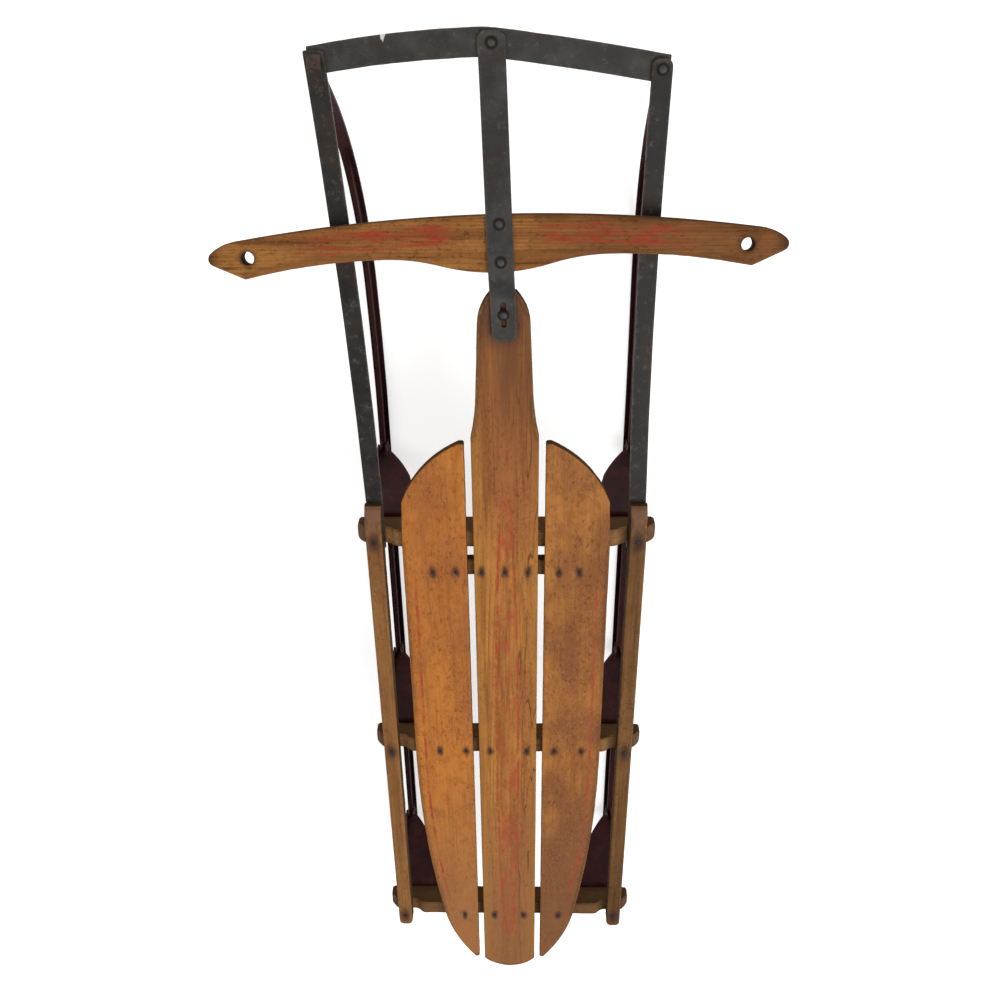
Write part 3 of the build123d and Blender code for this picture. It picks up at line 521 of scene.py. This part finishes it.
def ridge_tree(work):
    """Search tree of points along every ridge of the solid."""
    points = []
    for edge in work.edges:
        if len(edge.link_faces) == 2 and edge.calc_face_angle() > RIDGE_ANGLE:
            start, end = (v.co for v in edge.verts)
            steps = max(1, math.ceil((end - start).length / RIDGE_SPACING))
            points += [start.lerp(end, i / steps) for i in range(steps + 1)]
    tree = kdtree.KDTree(len(points))
    for index, point in enumerate(points):
        tree.insert(point, index)
    tree.balance()
    return tree


def sliced(work, step):
    """Cuts the mesh across each axis every step, so that edges can wear."""
    for axis in range(3):
        if not step[axis]:
            continue
        low = min(v.co[axis] for v in work.verts)
        high = max(v.co[axis] for v in work.verts)
        count = math.floor((high - low) / step[axis])
        normal = Vector((axis == 0, axis == 1, axis == 2))
        for index in range(1, count + 1):
            cut = normal * (low + (high - low) * index / (count + 1))
            geometry = work.verts[:] + work.edges[:] + work.faces[:]
            bmesh.ops.bisect_plane(work, geom=geometry, dist=WELD, plane_co=cut, plane_no=normal)


def worked(node, material, slot, soften, step, dent=0.0):
    """A copy of a CAD node with softened, worn edges, which stands for that node."""
    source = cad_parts[node].data.copy()
    for layer in ("custom_normal", "sharp_edge", "sharp_face"):
        if layer in source.attributes:
            source.attributes.remove(source.attributes[layer])
    work = bmesh.new()
    work.from_mesh(source)
    bmesh.ops.remove_doubles(work, verts=work.verts, dist=WELD)
    bmesh.ops.dissolve_limit(work, angle_limit=FLAT_ANGLE, verts=work.verts, edges=work.edges)
    ridges = ridge_tree(work)
    sharp = [e for e in work.edges if len(e.link_faces) == 2 and e.calc_face_angle() > SOFTEN_ANGLE]
    bmesh.ops.bevel(work, geom=sharp, offset=soften, segments=2, profile=0.5, affect="EDGES",
                    clamp_overlap=True)
    sliced(work, step)
    work.normal_update()
    closeness = []
    for vertex in work.verts:
        gap = ridges.find(vertex.co)[2]
        near = max(0.0, 1 - gap / RIDGE_REACH)
        closeness.append(near)
        bite = max(0.0, noise.noise(vertex.co * DENT_FREQUENCY))
        vertex.co -= vertex.normal * (dent * near * bite)
    mesh = bpy.data.meshes.new(node + "_worked")
    work.to_mesh(mesh)
    work.free()
    bpy.data.meshes.remove(source)
    edge = mesh.attributes.new("edge", "FLOAT", "POINT")
    edge.data.foreach_set("value", closeness)
    mesh.polygons.foreach_set("use_smooth", [True] * len(mesh.polygons))
    mesh.set_sharp_from_angle(angle=SHADE_ANGLE)
    piece = bpy.data.objects.new(node + "_worked", mesh)
    bpy.context.scene.collection.objects.link(piece)
    piece.data.materials.append(material)
    piece.modifiers.new("area_normals", "WEIGHTED_NORMAL").keep_sharp = True
    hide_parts(node)
    return piece


HEAD_WOBBLE = 0.04


def heads(name, material, places, profile, segments=18, tilt=0.05):
    """One joined mesh of round heads. Places are (point, outward axis), the profile (radius, height)."""
    draw = random.Random(SEED)
    work = bmesh.new()
    for point, outward in places:
        nod = Matrix.Rotation(draw.uniform(-tilt, tilt), 3, "X")
        lean = nod @ Matrix.Rotation(draw.uniform(-tilt, tilt), 3, "Y")
        stand = Vector((0, 0, 1)).rotation_difference(Vector(outward)).to_matrix() @ lean
        rings = []
        for radius, height in profile:
            ring = []
            for index in range(segments):
                angle = 2 * math.pi * index / segments
                wobble = radius * (1 + draw.uniform(-HEAD_WOBBLE, HEAD_WOBBLE))
                local = Vector((wobble * math.cos(angle), wobble * math.sin(angle), height))
                ring.append(work.verts.new(Vector(point) + stand @ local))
            rings.append(ring)
        for lower, upper in zip(rings, rings[1:]):
            for index in range(segments):
                after = (index + 1) % segments
                work.faces.new((lower[index], lower[after], upper[after], upper[index]))
        work.faces.new(rings[-1])
        work.faces.new(reversed(rings[0]))
    mesh = bpy.data.meshes.new(name)
    work.to_mesh(mesh)
    work.free()
    mesh.polygons.foreach_set("use_smooth", [True] * len(mesh.polygons))
    mesh.set_sharp_from_angle(angle=SHADE_ANGLE)
    piece = bpy.data.objects.new(name, mesh)
    bpy.context.scene.collection.objects.link(piece)
    piece.data.materials.append(material)
    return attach(piece, "frame")


# Deck
half_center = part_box("center_slat")[1].x
slats = (
    ("side_slat_left", slat_wood("left", -1, -half_center, (0.03, 0.3, -0.12), 0.0034, 0.012)),
    ("center_slat", slat_wood("center", -half_center, half_center, (-0.012, 0.0, -0.135), 0.0036, 0.035)),
    ("side_slat_right", slat_wood("right", half_center, 1, (-0.05, -0.2, -0.125), 0.0031, 0.014)),
)
for node, material in slats:
    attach(worked(node, material, "deck_wood", **SLAT_WORK), "frame")

# Rails, crossbars and cleat
for side, sign, pith in (("left", -1, (0.13, 0.1, -0.14)), ("right", 1, (-0.17, -0.2, -0.145))):
    rail = worked(f"side_rail_{side}", rail_wood(side, sign, pith), "frame_wood", **RAIL_WORK)
    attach(rail, "frame")
for name, depth in (("front", -0.11), ("middle", -0.118), ("rear", -0.104)):
    wood = bar_wood("frame_wood_" + name, (0.01, 0.2, depth))
    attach(worked(f"crossbar_{name}", wood, "frame_wood", **CROSSBAR_WORK), "frame")
cleat_wood = bar_wood("frame_wood_cleat", (0.0, 0.4, -0.12))
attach(worked("deck_cleat", cleat_wood, "frame_wood", **CLEAT_WORK), "frame")

# Handlebar
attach(worked("handlebar", handle_wood(), "handle_wood", **HANDLE_WORK), "steering")

# Steel straps, with the points of the rivets and bolts through them
BUMPER_CHIP = (-0.1068, 0.6285, 0.0)
CLAMP_POINTS = ((-0.00335, 0.47094, 0.0), (-0.00206, 0.43581, 0.0))


def middle_of(node):
    low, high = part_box(node)
    return (low + high) / 2


corners = {side: middle_of(f"corner_rivet_{side}") for side in ("left", "right")}
strap_points = [middle_of("tongue_rivet"), middle_of("pivot_bolt"), *corners.values()]
rivets = [(point.x, point.y, 0) for point in strap_points] + list(CLAMP_POINTS)
bumper_steel = strap_steel("dark_steel_bumper", GREY_STEEL, rivets, BUMPER_CHIP)
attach(worked("bumper", bumper_steel, "dark_steel", **BUMPER_WORK), "bumper")
tongue_steel = strap_steel("dark_steel_tongue", GREY_STEEL, rivets)
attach(worked("steering_tongue", tongue_steel, "dark_steel", **TONGUE_WORK), "steering")

bar_steel = strap_steel("dark_steel_bar", BLACK_STEEL, rivets)

# Runners, side bars and knees.
runner_paint = maroon_steel("maroon_steel_runner", RUNNER_LIP)
knee_paint = maroon_steel("maroon_steel_knee", KNEE_LIP)
for side, corner in corners.items():
    knee_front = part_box(f"knee_front_{side}")[1].y
    rail_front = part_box(f"side_rail_{side}")[1].y
    for node, material, slot, begin in (
        (f"runner_{side}", runner_paint, "maroon_steel", knee_front),
        (f"side_bar_{side}", bar_steel, "dark_steel", rail_front),
    ):
        bar = worked(node, material, slot, **RUNNER_WORK)
        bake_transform(bar)
    for name in ("front", "middle", "rear"):
        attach(worked(f"knee_{name}_{side}", knee_paint, "maroon_steel", **KNEE_WORK), "frame")

# Fasteners
dark_iron = fastener_steel("fastener_steel_dark", srgb(34, 30, 32), srgb(58, 48, 44))
bolt_iron = fastener_steel("fastener_steel_bolt", srgb(40, 32, 30), srgb(68, 52, 46))
strap_iron = fastener_steel("fastener_steel_strap", srgb(72, 68, 64), srgb(92, 84, 76), rivets)
rusty_iron = fastener_steel("fastener_steel_rusty", srgb(56, 48, 42), srgb(86, 68, 54))
for node, iron in (
    ("pivot_bolt", strap_iron),
    ("tongue_rivet", strap_iron),
    ("corner_rivet_left", rusty_iron),
    ("corner_rivet_right", strap_iron),
    ("handlebar_rivets", strap_iron),
):
    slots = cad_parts[node].data.materials
    slots.clear()
    slots.append(iron)
deck_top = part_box("center_slat")[1].z
rail_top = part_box("side_rail_left")[1].z
UP = (0, 0, 1)
DOWN = (0, 0, -1)
nail_profile = ((NAIL_R, -0.0006), (NAIL_R, 0.0001), (NAIL_R * 0.8, 0.0003), (NAIL_R * 0.4, 0.0005))
nail_places = [((x, y, deck_top), UP) for y, row in NAIL_ROWS for x in row]
heads("deck_nails", dark_iron, nail_places, nail_profile)
bolt_profile = ((RAIL_BOLT_R, -0.001), (RAIL_BOLT_R, 0.0002), (RAIL_BOLT_R * 0.85, 0.0006),
                (RAIL_BOLT_R * 0.5, 0.0009))
rail_points = [(sign * RAIL_X, y) for sign in (-1, 1) for y in RAIL_STATIONS]
heads("rail_bolts", bolt_iron, [((x, y, rail_top), UP) for x, y in rail_points], bolt_profile)

# Nuts of the rail bolts under the knees' seats, and rivets through the knees' ears on the runners
RUNNER_X = 0.152
NUT_R = 0.0058
SEAT_UNDER = 0.1255
EAR_OUT = 0.0042
EAR_RIVET_Z = 0.0135
EAR_RIVET_R = 0.0034
EAR_RIVET_BACKS = (0.006, 0.018)
nut_profile = (
    (NUT_R * 1.45, -0.0002), (NUT_R * 1.45, 0.001), (NUT_R, 0.0012), (NUT_R, 0.0052),
    (NUT_R * 0.8, 0.0058), (RAIL_BOLT_R, 0.0058), (RAIL_BOLT_R, 0.0084), (RAIL_BOLT_R * 0.8, 0.009),
)
nut_places = [((x, y, SEAT_UNDER), DOWN) for x, y in rail_points]
heads("rail_nuts", dark_iron, nut_places, nut_profile, segments=6)
ear_profile = ((EAR_RIVET_R, -0.0003), (EAR_RIVET_R, 0.0004), (EAR_RIVET_R * 0.8, 0.0012),
               (EAR_RIVET_R * 0.4, 0.0017))
ear_rivets = []
for side, sign in (("left", -1), ("right", 1)):
    for name in ("front", "middle", "rear"):
        ear_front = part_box(f"knee_{name}_{side}")[1].y
        for back in EAR_RIVET_BACKS:
            for out in (-1, 1):
                point = (sign * RUNNER_X + out * EAR_OUT, ear_front - back, EAR_RIVET_Z)
                ear_rivets.append((point, (out, 0, 0)))
heads("ear_rivets", dark_iron, ear_rivets, ear_profile)

# Floor, light and camera
FLOOR_HALF = 6.0
FLOOR_DROP = 0.0002
FLOOR_TONES = (srgb(244, 244, 244), srgb(247, 247, 247))
FLOOR_GLOW = {"Emission Color": (1.0, 1.0, 1.0, 1.0), "Emission Strength": 0.64}
floor_mesh = bpy.data.meshes.new("floor")
around = ((-1, -1), (1, -1), (1, 1), (-1, 1))
floor_corners = [(x * FLOOR_HALF, y * FLOOR_HALF, -FLOOR_DROP) for x, y in around]
floor_mesh.from_pydata(floor_corners, [], [(0, 1, 2, 3)])
floor = bpy.data.objects.new("floor", floor_mesh)
bpy.context.scene.collection.objects.link(floor)
floor_finish = Finish("pale_floor")
floor_tone = floor_finish.grain(floor_finish.place, 0.4, 2.0)
floor_color = floor_finish.mix(floor_tone, *FLOOR_TONES)
floor.data.materials.append(floor_finish.close(floor_color, 0.9, floor_tone, 0.0, **FLOOR_GLOW))

# Studio dome: pale near the horizon, dimmer overhead where the softboxes hang
HORIZON_GLOW = 0.9
OVERHEAD_GLOW = 0.245
GLOW_TOP = 0.35
world = bpy.data.worlds.new("studio")
world.use_nodes = True
sky = world.node_tree
heading = sky.nodes.new("ShaderNodeTexCoord").outputs["Generated"]
split = sky.nodes.new("ShaderNodeSeparateXYZ")
sky.links.new(heading, split.inputs[0])
glow = sky.nodes.new("ShaderNodeMapRange")
glow.interpolation_type = "SMOOTHSTEP"
for index, value in enumerate((0.0, GLOW_TOP, HORIZON_GLOW, OVERHEAD_GLOW), start=1):
    glow.inputs[index].default_value = value
sky.links.new(split.outputs["Z"], glow.inputs[0])
dome = sky.nodes["Background"]
dome.inputs["Color"].default_value = (1.0, 1.0, 1.0, 1.0)
sky.links.new(glow.outputs[0], dome.inputs["Strength"])
bpy.context.scene.world = world


LIGHT_TARGET = (0, 0, 0.1)
LIGHT_SIZE = 1.8


def softbox(name, place, power):
    """Square area light that looks at the sled."""
    light = bpy.data.lights.new(name, "AREA")
    light.shape = "SQUARE"
    light.size = LIGHT_SIZE
    light.energy = power
    lamp = bpy.data.objects.new(name, light)
    lamp.location = place
    lamp.rotation_euler = (Vector(LIGHT_TARGET) - Vector(place)).to_track_quat("-Z", "Y").to_euler()
    bpy.context.scene.collection.objects.link(lamp)


softbox("key", (1.3, -0.5, 2.2), 41)
softbox("fill", (-1.2, 0.9, 2.0), 13)

camera_data = bpy.data.cameras.new("camera")
camera_data.sensor_width = SENSOR
camera_data.lens = FOCAL_PIXELS * SENSOR / PICTURE_SIDE
camera = bpy.data.objects.new("camera", camera_data)
camera_axes = Matrix((CAMERA_RIGHT, CAMERA_UP, CAMERA_BACK)).transposed().to_4x4()
camera.matrix_world = Matrix.Translation(CAMERA_PLACE) @ camera_axes
bpy.context.scene.collection.objects.link(camera)
bpy.context.scene.camera = camera
bpy.context.scene.view_settings.view_transform = "Standard"
